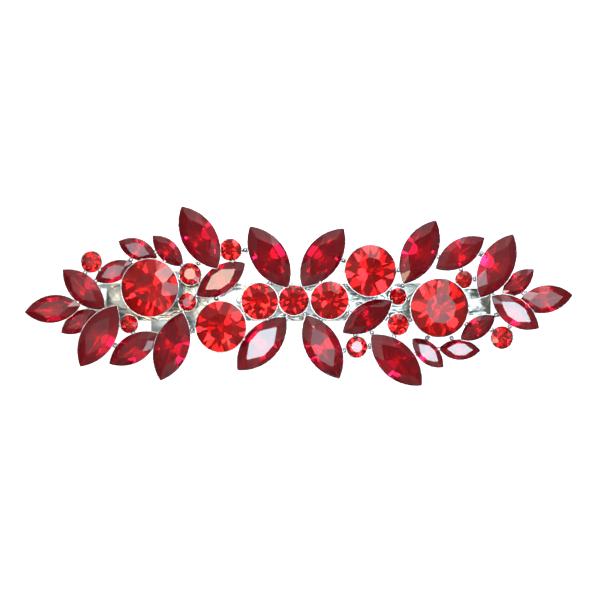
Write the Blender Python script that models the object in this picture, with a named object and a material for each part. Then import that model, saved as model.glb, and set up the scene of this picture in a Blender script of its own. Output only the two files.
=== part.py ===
"""A crystal cluster barrette: an arched cast front set with red glass stones, on a French barrette clip.

Sizes are in millimetres and angles in degrees; meshes are written in metres. +X runs along the clip,
+Y across it and +Z up through the stones. The clip lies closed on z = 0, latch at -X and hinge at +X.
"""

import math
from dataclasses import dataclass

import bmesh
import bpy
from mathutils import Matrix, Vector

MM = 0.001

# The arch that the plate and the whole front follow.
ARCH_RADIUS = 160.0
PLATE_TOP = 9.9

# Clip centre line and sheet metal.
CLIP_Y = -1.1
PLATE_THICK = 0.7
PLATE_END_LEFT = -35.3
PLATE_END_RIGHT = 35.1
PLATE_HALF_WIDTH = 3.45
PLATE_CORNER = [(0.0, 1.25), (0.5, 0.45), (1.3, 0.0)]  # run from the end, inset of the edge
PLATE_STRAIGHT = 29.0
TONGUE_START = 30.6
TONGUE_HALF_WIDTH = 2.5

# Hinge: ears folded from the plate, and the pin through them. The feet's x is from the pin.
PIN_X = 33.6
PIN_Z = 1.15
PIN_RADIUS = 0.4
PIN_SIDES = 16
PIN_HEAD_RADIUS = 0.62
PIN_HEAD_THICK = 0.27
EAR_INNER = 1.8
EAR_THICK = 0.6
EAR_FEET = [(-1.6, 1.0), (-0.9, 0.0), (0.8, 0.0), (1.45, 0.9)]
PIN_CLEAR = 0.04
HEAD_GAP = 0.08
HEAD_TAPER = 0.8
HOLE_REACH = 4.0

# Clasp arm.
ARM_THICK = 0.7
ARM_ARCH_LEFT = -31.0
ARM_RISE = 2.0
ARM_END_LIFT = 0.15
ARM_HALF_WIDTH = 3.1
ARM_STRAIGHT = (-26.0, 28.0)
ARM_NECK_START = 30.0
ARM_NECK_HALF_WIDTH = 1.1
TAB_END = -38.0
TAB_OUTLINE = [(0.0, 2.3), (0.6, 3.1), (2.0, 3.45), (4.5, 3.45)]  # run from the end, half width
TAB_CURL_START = -36.0
TAB_CURL = 0.45
EYE_RADIUS = 1.0

# Tension bow.
BOW_THICK = 0.4
BOW_RADIUS = 54.0
BOW_CROWN_X = 6.0
BOW_CROWN_Z = 8.1
BOW_HALF_WIDTH = 2.3
BOW_TIP = [(-17.5, 1.2), (-16.9, 1.9), (-15.8, BOW_HALF_WIDTH)]
BOW_STRAIGHT = (-12.0, 26.0)
BOW_ROOT = [(28.5, 1.9), (30.2, 1.75)]
BOW_LUG_START = 28.9
BOW_LUG_END = 30.3
BOW_LUG_BITE = 0.05
BOW_LUG_DROP = 0.75
BOW_LUG_LOOP = [(-0.7, -0.8), (0.3, -0.9), (0.9, -0.3), (0.9, 0.4), (0.3, 0.95)]  # x and z from the pin
BOW_LUG_INNER = 1.25
BOW_LUG_THICK = 0.4

# Latch: a base strip riveted under the plate, and two sprung jaws.
LATCH_X = -23.75
LATCH_BASE_HALF = (4.0, 1.0)
LATCH_SHEET = 0.5
LATCH_GAP = 0.08
JAW_ROOT = 1.1
JAW_THICK = 0.45
JAW_LEG_HALF = 3.2
JAW_SHOULDER = 6.3
JAW_DEPTH = 7.1
TOE_HALF = 1.7
TOE_OVERLAP = 0.4
JAW_PIVOT_DEPTH = 0.35
JAW_TOP = 0.14
JAW_BITE = 0.2
WING_HALF = 4.1
WING_REACH = 5.65
WING_DEPTH = 3.6
BARB_HALF = 1.5
BARB_REACH = 2.5
BARB_THICK = 0.4
BARB_FOOT = 0.03
WINDOW_HALF = (3.8, 2.05)
WINDOW_CUT = (-2.0, 4.0)
RIVET_RADIUS = 0.6
RIVET_SIDES = 12
RIVET_TAIL = 0.85
RIVET_HEAD_RADIUS = 1.1
RIVET_HEAD_THICK = 0.24

# Casting and stones.
CAST_LIFT = 0.4
CUP_FLOOR = 0.35
CUP_WALL = 0.25
CUP_RIM_RISE = 0.14
CUP_FOOT = 0.42
STONE_GAP = 0.06
GIRDLE = 0.16
PAVILION = 0.36
CROWN = 0.15
ROUND_TABLE = 0.56
NAVETTE_TABLE = 0.60
SMALL_ROUND = 4.5
ROUND_SIDES = 16
SMALL_ROUND_SIDES = 10
TIP_GROWTH = 2.6  # added length of a pointed outline, in walls
WEB_REACH = 1.3
WEB_WIDTH = 0.8
WEB_DROP = 0.22
WEB_LIFT = 0.07
WEB_ROOT = 0.6  # how far a web runs in towards a cup's middle
PAD_GAP = 0.06
PAD_HALF = (2.6, 2.2)
PAD_THICK = 0.26
PADS = {"solder_pad_left": -14.0, "solder_pad_middle": 1.5, "solder_pad_right": 25.5}

# Round stones: centre x, centre y, diameter.
ROUND_STONES = [
    (-27.3, 1.5, 10.7),
    (25.6, -2.2, 10.85),
    (13.0, 4.6, 9.5),
    (-14.3, -5.6, 9.4),
    (-7.2, -1.0, 6.8),
    (-1.0, -0.8, 5.55),
    (5.55, -0.8, 7.0),
    (-38.0, 6.25, 3.9),
    (-19.9, 4.0, 4.05),
    (-20.4, -1.1, 3.3),
    (-12.5, 8.4, 4.05),
    (-31.1, -5.1, 3.35),
    (30.1, 3.0, 3.25),
    (18.05, -0.1, 3.2),
    (18.1, -5.2, 4.0),
    (10.5, -9.3, 3.95),
    (37.1, -7.6, 4.2),
]

# Navettes, the pointed ovals: length and width of the three sizes.
LARGE = (12.6, 6.1)
MEDIUM = (10.2, 4.75)
SMALL = (7.25, 3.5)

# Navettes: centre x, centre y, size, turn from +X, extra height of the cup.
NAVETTE_STONES = [
    (-45.1, -2.35, MEDIUM, 6.6, 0.6),
    (-39.4, 1.2, MEDIUM, -42.4, 0.0),
    (-40.3, -4.7, SMALL, 30.6, 0.0),
    (-36.7, -7.3, LARGE, 58.5, 0.6),
    (-33.9, 4.45, SMALL, 24.3, 0.0),
    (-29.5, 8.5, SMALL, -21.7, 0.0),
    (-24.0, 8.25, SMALL, -45.0, 0.0),
    (-18.2, 10.65, LARGE, 119.8, 0.0),
    (-5.5, 7.1, LARGE, 121.9, 0.0),
    (-30.2, -9.6, MEDIUM, 31.4, 0.0),
    (-23.3, -9.2, LARGE, 71.4, 0.0),
    (-14.3, 3.0, MEDIUM, 34.3, 0.0),
    (-6.8, -8.7, LARGE, 47.5, 0.0),
    (4.3, 7.0, LARGE, 54.5, 0.0),
    (4.3, -9.3, LARGE, 117.5, 0.0),
    (22.0, 8.0, LARGE, 62.7, 0.0),
    (29.4, 7.8, MEDIUM, 32.0, 0.0),
    (36.1, 5.5, LARGE, 62.0, 0.0),
    (40.0, 2.4, SMALL, 39.0, 0.0),
    (45.0, -0.6, MEDIUM, 8.2, 0.0),
    (39.5, -2.95, MEDIUM, -33.5, 1.0),
    (12.45, -3.8, MEDIUM, 32.5, 0.0),
    (17.75, -11.7, LARGE, -45.0, 0.0),
    (23.5, -10.4, SMALL, -42.7, 0.0),
    (29.3, -9.8, SMALL, -3.0, 0.0),
    (32.65, -5.8, SMALL, 34.0, 0.5),
]


@dataclass(frozen=True)
class Stone:
    """A glass stone: its place in plan, its size, its turn, and how far its cup is raised."""

    name: str
    x: float
    y: float
    length: float
    width: float
    turn: float
    lift: float

    @property
    def is_round(self):
        return self.length == self.width

    @property
    def pavilion(self):
        return PAVILION * self.width

    @property
    def cup_depth(self):
        """Depth from the girdle to the underside of the cup."""
        return self.pavilion + CUP_FLOOR + self.lift

    @property
    def height(self):
        """Height of the girdle above the plate's upper face."""
        return CAST_LIFT + self.cup_depth

    @property
    def frame(self):
        """The stone's own frame: origin in its girdle, +X along the stone, +Z out of the table."""
        turn = Matrix.Rotation(math.radians(self.turn), 4, "Z")
        return arch_frame(self.x, self.y, self.height) @ turn

    def outline(self, grow=0.0, scale=1.0):
        """The girdle's outline, counter-clockwise, grown outwards by a wall and then scaled."""
        if self.is_round:
            sides = ROUND_SIDES if self.width > SMALL_ROUND else SMALL_ROUND_SIDES
            radius = self.width / 2 + grow
            points = circle(radius, sides)
        else:
            points = pointed_oval(self.length + TIP_GROWTH * grow, self.width + 2 * grow)
        return [(x * scale, y * scale) for x, y in points]


def circle(radius, sides, start=0.0):
    """Points of a regular polygon, counter-clockwise."""
    steps = (start + math.tau * i / sides for i in range(sides))
    return [(radius * math.cos(a), radius * math.sin(a)) for a in steps]


def pointed_oval(length, width, steps=6):
    """Two equal arcs that meet in points on the X axis, counter-clockwise from the right tip."""
    half, rise = length / 2, width / 2
    radius = (half * half + rise * rise) / (2 * rise)
    reach = math.asin(half / radius)
    upper = []
    for i in range(steps):
        angle = reach - 2 * reach * i / steps
        upper.append((radius * math.sin(angle), radius * math.cos(angle) - radius + rise))
    return upper + [(-x, -y) for x, y in upper]


def arch_drop(x, height=0.0):
    """How far the arch, or a line that runs a height above it, has fallen at x."""
    radius = ARCH_RADIUS + height
    return radius - math.sqrt(radius * radius - x * x)


def plate_top(x):
    return PLATE_TOP - arch_drop(x)


def arch_frame(x, y, height):
    """A frame that stands square on the arch, with its origin at x, y and a height above the plate."""
    radius = ARCH_RADIUS + height
    lean = math.asin(x / radius)
    z = PLATE_TOP - ARCH_RADIUS + radius * math.cos(lean)
    return Matrix.Translation((x, y, z)) @ Matrix.Rotation(lean, 4, "Y")


def arm_bottom(x):
    """Underside of the clasp arm: flat under the tab, then a low arch that ends at the pin."""
    if x <= ARM_ARCH_LEFT:
        curl = max(0.0, (TAB_CURL_START - x) / (TAB_CURL_START - TAB_END))
        return TAB_CURL * curl * curl
    t = (x - ARM_ARCH_LEFT) / (PIN_X - ARM_ARCH_LEFT)
    return ARM_END_LIFT * t + 4 * ARM_RISE * t * (1 - t)


def bow_top(x):
    run = x - BOW_CROWN_X
    return BOW_CROWN_Z - BOW_RADIUS + math.sqrt(BOW_RADIUS * BOW_RADIUS - run * run)


def material(name, color, roughness, metallic=0.0):
    """A Principled material with the sub-part's colour, roughness and metallic value."""
    made = bpy.data.materials.get(name) or bpy.data.materials.new(name)
    made.use_nodes = True
    shader = made.node_tree.nodes["Principled BSDF"]
    shader.inputs["Base Color"].default_value = (*color, 1.0)
    shader.inputs["Roughness"].default_value = roughness
    shader.inputs["Metallic"].default_value = metallic
    made.diffuse_color = (*color, 1.0)
    return made


def add_solid(name, points, faces, look=None, frame=None):
    """Make one closed solid from points in millimetres, in the given frame."""
    mesh = bpy.data.meshes.new(name)
    mesh.from_pydata([Vector(p) * MM for p in points], [], faces)
    bm = bmesh.new()
    bm.from_mesh(mesh)
    bmesh.ops.recalc_face_normals(bm, faces=bm.faces)
    bm.to_mesh(mesh)
    bm.free()
    obj = bpy.data.objects.new(name, mesh)
    bpy.context.scene.collection.objects.link(obj)
    if frame is not None:
        obj.matrix_world = scaled_frame(frame)
    if look is not None:
        mesh.materials.append(look)
    return obj


def scaled_frame(frame):
    """The same frame with its origin in metres."""
    moved = frame.copy()
    moved.translation = frame.translation * MM
    return moved


def move_origin(obj, x, y, z):
    """Put an object's origin on a point, given in millimetres, without moving its shape."""
    point = Vector((x, y, z)) * MM
    obj.data.transform(Matrix.Translation(-point))
    obj.location = point


def combine(obj, operation, tool):
    """Join a hidden helper to an object, or cut it away; the helper is an object or a collection."""
    step = obj.modifiers.new(operation.lower(), "BOOLEAN")
    step.operation = operation
    step.solver = "EXACT"
    if isinstance(tool, bpy.types.Collection):
        step.operand_type = "COLLECTION"
        step.collection = tool
        helpers = tool.objects
    else:
        step.object = tool
        helpers = [tool]
    for helper in helpers:
        helper.hide_render = True
        helper.display_type = "WIRE"


def loft(name, rings, look=None, frame=None):
    """A solid through rings of equal length, closed with a flat face at each end."""
    count = len(rings[0])
    points = [p for ring in rings for p in ring]
    faces = [list(range(count))[::-1], [len(points) - count + i for i in range(count)]]
    for level in range(len(rings) - 1):
        for i in range(count):
            low, high = level * count, (level + 1) * count
            following = (i + 1) % count
            faces.append([low + i, low + following, high + following, high + i])
    return add_solid(name, points, faces, look, frame)


def box(name, low, high, look=None, frame=None):
    (x0, y0, z0), (x1, y1, z1) = low, high
    flat = [(x0, y0), (x1, y0), (x1, y1), (x0, y1)]
    return loft(name, [[(x, y, z) for x, y in flat] for z in (z0, z1)], look, frame)


def turned(name, profile, sides, look=None, frame=None):
    """A round piece about +Z, from radius and height pairs."""
    half_step = math.pi / sides
    rings = [[(x, y, z) for x, y in circle(r, sides, half_step)] for r, z in profile]
    return loft(name, rings, look, frame)


def side_plate(name, outline, y_low, y_high, look=None):
    """An upright plate: an outline in x and z, between two values of y."""
    return loft(name, [[(x, y, z) for x, z in outline] for y in (y_low, y_high)], look)


def strip(name, stations, thick, top, look=None):
    """A sheet-metal strip along X: half-widths at stations, with its upper face on a curve."""
    rings = []
    for x, half in stations:
        z = top(x)
        near, far = CLIP_Y - half, CLIP_Y + half
        rings.append([(x, near, z - thick), (x, far, z - thick), (x, far, z), (x, near, z)])
    return loft(name, rings, look)


def even_stations(start, end, half, steps):
    return [(start + (end - start) * i / steps, half) for i in range(steps + 1)]


def polygon_radius(radius, sides):
    """Corner radius of a polygon hole that clears a circle of the given radius."""
    return radius / math.cos(math.pi / sides)


def pin_frame(y=0.0):
    """The hinge pin's frame: origin in the middle of the pin, +Z along it."""
    place = Matrix.Translation((PIN_X, CLIP_Y + y, PIN_Z))
    return place @ Matrix.Rotation(math.radians(90), 4, "X")


def pin_hole(name):
    """A cutter for a running hole round the hinge pin."""
    radius = polygon_radius(PIN_RADIUS + PIN_CLEAR, PIN_SIDES)
    ends = [(radius, -HOLE_REACH), (radius, HOLE_REACH)]
    return turned(name, ends, PIN_SIDES, frame=pin_frame())


# Stones and casting.


def all_stones():
    stones = []
    for number, (x, y, diameter) in enumerate(ROUND_STONES, 1):
        stones.append(Stone(f"round_{number:02d}", x, y, diameter, diameter, 0.0, 0.0))
    for number, (x, y, (length, width), turn, lift) in enumerate(NAVETTE_STONES, 1):
        stones.append(Stone(f"navette_{number:02d}", x, y, length, width, turn, lift))
    return stones


def stone_solid(stone, name, grow=0.0, look=None):
    """A faceted stone, or a slightly larger one to cut its seat with."""
    table_size = ROUND_TABLE if stone.is_round else NAVETTE_TABLE
    rim = stone.outline(grow)
    count = len(rim)
    crown = CROWN * stone.width + grow
    table = [(x, y, crown) for x, y in stone.outline(grow, table_size)[::2]]
    upper = [(x, y, GIRDLE / 2) for x, y in rim]
    lower = [(x, y, -GIRDLE / 2) for x, y in rim]
    culet = (0.0, 0.0, -stone.pavilion - grow)
    points = table + upper + lower + [culet]
    half = count // 2
    first_upper, first_lower, tip = half, half + count, half + 2 * count
    faces = [list(range(half))]
    for k in range(half):
        left, right = first_upper + 2 * k, first_upper + (2 * k + 2) % count
        middle = first_upper + 2 * k + 1
        following = (k + 1) % half
        faces += [[k, left, middle], [k, middle, following], [following, middle, right]]
    for i in range(count):
        j = (i + 1) % count
        faces.append([first_upper + i, first_lower + i, first_lower + j, first_upper + j])
        faces.append([first_lower + i, tip, first_lower + j])
    return add_solid(name, points, faces, look, stone.frame)


def cup_solid(stone, name, look=None):
    """The tapered cup before its seat is cut: a foot on the casting's underside, widening to the rim."""
    foot = [(x, y, -stone.cup_depth) for x, y in stone.outline(CUP_WALL, CUP_FOOT)]
    rim = [(x, y, CUP_RIM_RISE) for x, y in stone.outline(CUP_WALL)]
    return loft(name, [foot, rim], look, stone.frame)


def plan_outline(stone, steps=8):
    """Points along the girdle in plan, several to each side of its outline."""
    turn = Matrix.Rotation(math.radians(stone.turn), 2)
    corners = [turn @ Vector(p) + Vector((stone.x, stone.y)) for p in stone.outline()]
    points = []
    for i, corner in enumerate(corners):
        following = corners[(i + 1) % len(corners)]
        points += [corner.lerp(following, k / steps) for k in range(steps)]
    return points


def web_between(name, one, other, one_edge, other_edge):
    """The web that joins two cups where their edges come closest."""
    gap, start, end = min(
        ((p - q).length, p.to_tuple(), q.to_tuple()) for p in one_edge for q in other_edge
    )
    if gap > WEB_REACH:
        return None
    start, end = Vector(start), Vector(end)
    start = start.lerp(Vector((one.x, one.y)), WEB_ROOT)
    end = end.lerp(Vector((other.x, other.y)), WEB_ROOT)
    side = (end - start).orthogonal().normalized() * WEB_WIDTH / 2
    low = CAST_LIFT + WEB_LIFT
    high = min(one.height, other.height) + CUP_RIM_RISE - WEB_DROP
    rings = []
    for height in (low, high):
        corners = (start - side, end - side, end + side, start + side)
        rings.append([arch_frame(c.x, c.y, height).translation for c in corners])
    return loft(name, rings)


def helper_collection(name, objects):
    """Gather helpers in a collection of their own."""
    group = bpy.data.collections.new(name)
    bpy.context.scene.collection.children.link(group)
    for obj in objects:
        bpy.context.scene.collection.objects.unlink(obj)
        group.objects.link(obj)
    return group


def build_casting(stones, look):
    """One casting: every cup and web joined, then each stone's seat cut out."""
    casting = cup_solid(stones[0], "front_casting", look)
    pieces = [cup_solid(stone, f"cup_{stone.name}") for stone in stones[1:]]
    edges = {stone.name: plan_outline(stone) for stone in stones}
    for i, one in enumerate(stones):
        for other in stones[i + 1 :]:
            reach = (one.length + other.length) / 2 + WEB_REACH
            if math.hypot(one.x - other.x, one.y - other.y) > reach:
                continue
            name = f"web_{one.name}_{other.name}"
            web = web_between(name, one, other, edges[one.name], edges[other.name])
            if web is not None:
                pieces.append(web)
    seats = [stone_solid(stone, f"seat_{stone.name}", STONE_GAP) for stone in stones]
    casting.data.transform(casting.matrix_world)
    casting.matrix_world = Matrix.Identity(4)
    combine(casting, "UNION", helper_collection("casting_pieces", pieces))
    combine(casting, "DIFFERENCE", helper_collection("stone_seats", seats))
    return casting


def build_stones(stones, round_look, navette_look):
    for stone in stones:
        look = round_look if stone.is_round else navette_look
        stone_solid(stone, stone.name, look=look)


# Clip.


def build_plate(look):
    """The arched top plate, with a tongue at the hinge end and two ears folded down from it."""
    stations = [(PLATE_END_LEFT + run, PLATE_HALF_WIDTH - inset) for run, inset in PLATE_CORNER]
    stations += even_stations(-PLATE_STRAIGHT, PLATE_STRAIGHT, PLATE_HALF_WIDTH, 10)
    stations += [(TONGUE_START, TONGUE_HALF_WIDTH), (PLATE_END_RIGHT, TONGUE_HALF_WIDTH)]
    plate = strip("top_plate", stations, PLATE_THICK, plate_top, look)
    for side in (-1, 1):
        inner, outer = side * EAR_INNER, side * (EAR_INNER + EAR_THICK)
        low, high = sorted((CLIP_Y + inner, CLIP_Y + outer))
        ear = side_plate(f"ear_{'back' if side > 0 else 'front'}", ear_outline(), low, high)
        combine(plate, "UNION", ear)
    combine(plate, "DIFFERENCE", pin_hole("ear_holes"))
    combine(plate, "DIFFERENCE", rivet_hole("plate_rivet_hole"))
    return plate


def ear_outline():
    """An ear in x and z: rooted in the plate, with a flat foot on the ground plane."""
    feet = [(PIN_X + run, z) for run, z in EAR_FEET]
    left, right = feet[0][0], feet[-1][0]
    root = PLATE_THICK / 2
    return [(left, plate_top(left) - root), *feet, (right, plate_top(right) - root)]


def latch_frame(depth=0.0, y=0.0):
    """The latch's frame: square to the plate's underside, a depth below it."""
    under = arch_frame(LATCH_X, CLIP_Y, 0.0)
    return under @ Matrix.Translation((0.0, y, -PLATE_THICK - depth))


def rivet_hole(name):
    radius = polygon_radius(RIVET_RADIUS + PIN_CLEAR, RIVET_SIDES)
    ends = [(radius, -HOLE_REACH / 2), (radius, HOLE_REACH / 2)]
    return turned(name, ends, RIVET_SIDES, frame=latch_frame())


def build_rivet(look):
    """The rivet that clenches the latch base under the plate."""
    head_low = PLATE_THICK + HEAD_GAP / 2
    tail_high = -LATCH_GAP - LATCH_SHEET - HEAD_GAP / 2
    profile = [
        (RIVET_HEAD_RADIUS * RIVET_TAIL, tail_high - RIVET_HEAD_THICK),
        (RIVET_HEAD_RADIUS * RIVET_TAIL, tail_high),
        (RIVET_RADIUS, tail_high),
        (RIVET_RADIUS, head_low),
        (RIVET_HEAD_RADIUS, head_low),
        (RIVET_HEAD_RADIUS * HEAD_TAPER, head_low + RIVET_HEAD_THICK),
    ]
    return turned("latch_rivet", profile, RIVET_SIDES, look, latch_frame())


def build_latch_base(look):
    half_x, half_y = LATCH_BASE_HALF
    low = (-half_x, -half_y, -LATCH_GAP - LATCH_SHEET)
    base = box("latch_base", low, (half_x, half_y, -LATCH_GAP), look, latch_frame())
    combine(base, "DIFFERENCE", rivet_hole("base_rivet_hole"))
    return base


def build_jaw(name, side, look):
    """A sprung jaw: a leg with a narrower toe, a wing for the finger, and a barb under the arm."""
    middle = side * (JAW_ROOT + JAW_THICK / 2)
    frame = latch_frame(JAW_PIVOT_DEPTH, middle)

    def block(part_name, half_x, y_from, y_to, deep, thick):
        low_y, high_y = sorted((side * y_from - middle, side * y_to - middle))
        top = JAW_PIVOT_DEPTH - deep
        low, high = (-half_x, low_y, top - thick), (half_x, high_y, top)
        return box(part_name, low, high, look, frame)

    outer = JAW_ROOT + JAW_THICK
    leg = block(name, JAW_LEG_HALF, JAW_ROOT, outer, JAW_TOP, JAW_SHOULDER)
    toe_top = JAW_TOP + JAW_SHOULDER - TOE_OVERLAP
    toe_long = JAW_DEPTH - JAW_SHOULDER + TOE_OVERLAP
    toe = block(f"{name}_toe", TOE_HALF, JAW_ROOT, outer, toe_top, toe_long)
    wing = block(f"{name}_wing", WING_HALF, outer - JAW_BITE, WING_REACH, WING_DEPTH, JAW_THICK)
    barb_top = JAW_DEPTH + JAW_TOP - BARB_THICK - BARB_FOOT
    barb = block(f"{name}_barb", BARB_HALF, outer - JAW_BITE, BARB_REACH, barb_top, BARB_THICK)
    combine(leg, "UNION", toe)
    combine(leg, "UNION", wing)
    combine(leg, "UNION", barb)
    return leg


def build_arm(look):
    """The clasp arm: thumb tab, latch window, low arch, narrow neck, and an eye rolled round the pin."""
    stations = [(TAB_END + run, half) for run, half in TAB_OUTLINE]
    stations += [(ARM_ARCH_LEFT, ARM_HALF_WIDTH)]
    stations += even_stations(*ARM_STRAIGHT, ARM_HALF_WIDTH, 9)
    stations += [(ARM_NECK_START, ARM_NECK_HALF_WIDTH), (PIN_X, ARM_NECK_HALF_WIDTH)]

    def top(x):
        return arm_bottom(x) + ARM_THICK

    arm = strip("clasp_arm", stations, ARM_THICK, top, look)
    roll = ARM_NECK_HALF_WIDTH
    radius = polygon_radius(EYE_RADIUS, PIN_SIDES)
    eye = turned("arm_eye", [(radius, -roll), (radius, roll)], PIN_SIDES, frame=pin_frame())
    combine(arm, "UNION", eye)
    combine(arm, "DIFFERENCE", pin_hole("arm_eye_hole"))
    half_x, half_y = WINDOW_HALF
    centre = LATCH_X - (plate_top(LATCH_X) - PLATE_THICK) * LATCH_X / ARCH_RADIUS
    below, above = WINDOW_CUT
    low = (centre - half_x, CLIP_Y - half_y, below)
    window = box("arm_window", low, (centre + half_x, CLIP_Y + half_y, above))
    combine(arm, "DIFFERENCE", window)
    move_origin(arm, PIN_X, CLIP_Y, PIN_Z)
    return arm


def build_bow(look):
    """The tension bow: a sprung strip with two lugs on the hinge pin and a free end near the latch."""
    stations = BOW_TIP + even_stations(*BOW_STRAIGHT, BOW_HALF_WIDTH, 9) + BOW_ROOT
    bow = strip("tension_bow", stations, BOW_THICK, bow_top, look)
    lug = [
        (BOW_LUG_START, bow_top(BOW_LUG_START) - BOW_LUG_BITE),
        (BOW_LUG_START, bow_top(BOW_LUG_START) - BOW_LUG_DROP),
        *[(PIN_X + run, PIN_Z + rise) for run, rise in BOW_LUG_LOOP],
        (BOW_LUG_END, bow_top(BOW_LUG_END) - BOW_LUG_BITE),
    ]
    for side in (-1, 1):
        inner, outer = side * BOW_LUG_INNER, side * (BOW_LUG_INNER + BOW_LUG_THICK)
        low, high = sorted((CLIP_Y + inner, CLIP_Y + outer))
        piece = side_plate(f"bow_lug_{'back' if side > 0 else 'front'}", lug, low, high)
        combine(bow, "UNION", piece)
    combine(bow, "DIFFERENCE", pin_hole("bow_holes"))
    move_origin(bow, PIN_X, CLIP_Y, PIN_Z)
    return bow


def build_pin(look):
    shoulder = EAR_INNER + EAR_THICK + HEAD_GAP
    end = shoulder + PIN_HEAD_THICK
    profile = [
        (PIN_HEAD_RADIUS * HEAD_TAPER, -end),
        (PIN_HEAD_RADIUS, -shoulder),
        (PIN_RADIUS, -shoulder),
        (PIN_RADIUS, shoulder),
        (PIN_HEAD_RADIUS, shoulder),
        (PIN_HEAD_RADIUS * HEAD_TAPER, end),
    ]
    return turned("hinge_pin", profile, PIN_SIDES, look, pin_frame())


def build_pads(look):
    """Solder between the plate and the casting."""
    half_x, half_y = PAD_HALF

    def top(x):
        return plate_top(x) + PAD_GAP + PAD_THICK

    for name, x in PADS.items():
        strip(name, even_stations(x - half_x, x + half_x, half_y, 3), PAD_THICK, top, look)


def clear_scene():
    for obj in list(bpy.data.objects):
        bpy.data.objects.remove(obj)


def main():
    clear_scene()
    crimson = material("crimson_glass", (0.32, 0.005, 0.02), 0.05)
    scarlet = material("scarlet_glass", (0.72, 0.02, 0.02), 0.05)
    rhodium = material("bright_casting", (0.80, 0.81, 0.83), 0.14, 1.0)
    nickel = material("nickel_sheet", (0.66, 0.68, 0.67), 0.24, 1.0)
    spring = material("spring_steel", (0.60, 0.61, 0.62), 0.30, 1.0)
    solder = material("solder", (0.62, 0.63, 0.62), 0.38, 1.0)

    stones = all_stones()
    build_casting(stones, rhodium)
    build_stones(stones, scarlet, crimson)
    build_plate(nickel)
    build_arm(nickel)
    build_bow(spring)
    build_pin(spring)
    build_latch_base(nickel)
    build_jaw("latch_jaw_front", -1, nickel)
    build_jaw("latch_jaw_back", 1, nickel)
    build_rivet(nickel)
    build_pads(solder)


main()
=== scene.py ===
"""Looks of the crystal cluster barrette: ground glass stones, a bright casting and a French clip."""

import logging
import math
from collections.abc import Callable, Iterator
from contextlib import contextmanager
from dataclasses import dataclass, field
from enum import Enum
from typing import ClassVar

import bmesh
import bpy
from mathutils import Matrix, Vector


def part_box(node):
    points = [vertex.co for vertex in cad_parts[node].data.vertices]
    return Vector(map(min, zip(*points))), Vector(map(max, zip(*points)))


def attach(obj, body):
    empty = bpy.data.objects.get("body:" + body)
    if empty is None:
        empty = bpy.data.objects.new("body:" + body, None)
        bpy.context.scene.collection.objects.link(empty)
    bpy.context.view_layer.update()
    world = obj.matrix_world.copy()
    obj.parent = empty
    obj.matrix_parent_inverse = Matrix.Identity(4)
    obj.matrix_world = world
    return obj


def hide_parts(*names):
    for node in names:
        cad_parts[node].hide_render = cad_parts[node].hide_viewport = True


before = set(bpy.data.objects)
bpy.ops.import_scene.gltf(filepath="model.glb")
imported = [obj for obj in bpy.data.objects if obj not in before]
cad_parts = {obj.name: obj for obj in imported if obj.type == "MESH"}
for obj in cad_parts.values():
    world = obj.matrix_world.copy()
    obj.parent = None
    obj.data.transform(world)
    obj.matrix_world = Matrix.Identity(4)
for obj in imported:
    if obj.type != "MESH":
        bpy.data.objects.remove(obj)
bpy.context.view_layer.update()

MM = 0.001
PATCH_SCALE = 160.0  # cycles a metre of the dull patches on worn plating
RIPPLE_SCALE = 420.0  # cycles a metre of the crinkles in rolled sheet
UP = Vector((0.0, 0.0, 1.0))
FACING = 0.9  # a face this square to +Z or -Z is a top or a bottom

log = logging.getLogger("barrette")


# Working at the bench: selecting, cutting and finishing with Blender's operators.


def activate(obj: bpy.types.Object) -> None:
    """Select one object alone and make it active.

    Args:
        obj: The object to work on.
    """
    if bpy.context.object is not None and bpy.context.object.mode != "OBJECT":
        bpy.ops.object.mode_set(mode="OBJECT")
    bpy.ops.object.select_all(action="DESELECT")
    obj.select_set(True)
    bpy.context.view_layer.objects.active = obj


@contextmanager
def editing(obj: bpy.types.Object, mode: str = "FACE") -> Iterator[None]:
    """Hold an object in edit mode, with nothing selected at the start.

    Args:
        obj: The object to edit.
        mode: The kind of element to select: VERT, EDGE or FACE.
    """
    activate(obj)
    bpy.ops.object.mode_set(mode="EDIT")
    bpy.ops.mesh.select_mode(type=mode)
    bpy.ops.mesh.select_all(action="DESELECT")
    yield
    bpy.ops.object.mode_set(mode="OBJECT")


def pick_faces(obj: bpy.types.Object, wanted: Callable[[bmesh.types.BMFace], bool]) -> None:
    """Select the faces that a test wants, and only those, while editing.

    Args:
        obj: The object in edit mode.
        wanted: A test of one face.
    """
    bpy.ops.mesh.select_all(action="DESELECT")
    mesh = bmesh.from_edit_mesh(obj.data)
    for face in mesh.faces:
        if wanted(face):
            face.select_set(True)
    bmesh.update_edit_mesh(obj.data)


def apply_modifier(obj: bpy.types.Object, kind: str, **values: object) -> None:
    """Add a modifier, give it its values and apply it.

    Args:
        obj: The object to shape.
        kind: The modifier's type.
        values: The modifier's own settings.
    """
    activate(obj)
    step = obj.modifiers.new(kind.lower(), kind)
    for key, value in values.items():
        setattr(step, key, value)
    bpy.ops.object.modifier_apply(modifier=step.name)


def round_edges(obj: bpy.types.Object, width: float, segments: int = 2, angle: float = 35.0) -> None:
    """Round the sharp edges of a piece.

    Args:
        obj: The piece.
        width: Width of the bevel in metres.
        segments: Steps across the bevel.
        angle: Edges sharper than this many degrees are rounded.
    """
    apply_modifier(obj, "BEVEL", width=width, segments=segments, limit_method="ANGLE",
                   angle_limit=math.radians(angle))


def smooth(obj: bpy.types.Object, angle: float = 35.0) -> None:
    """Shade a piece smooth, except over its sharp edges.

    Args:
        obj: The piece.
        angle: Edges sharper than this many degrees stay sharp.
    """
    activate(obj)
    bpy.ops.object.shade_smooth_by_angle(angle=math.radians(angle))


def dress(obj: bpy.types.Object, *materials: bpy.types.Material) -> None:
    """Put materials in an object's slots, in place of what was there.

    Args:
        obj: The object.
        materials: Its materials, in the order of its slots.
    """
    obj.data.materials.clear()
    for material in materials:
        obj.data.materials.append(material)


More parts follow.
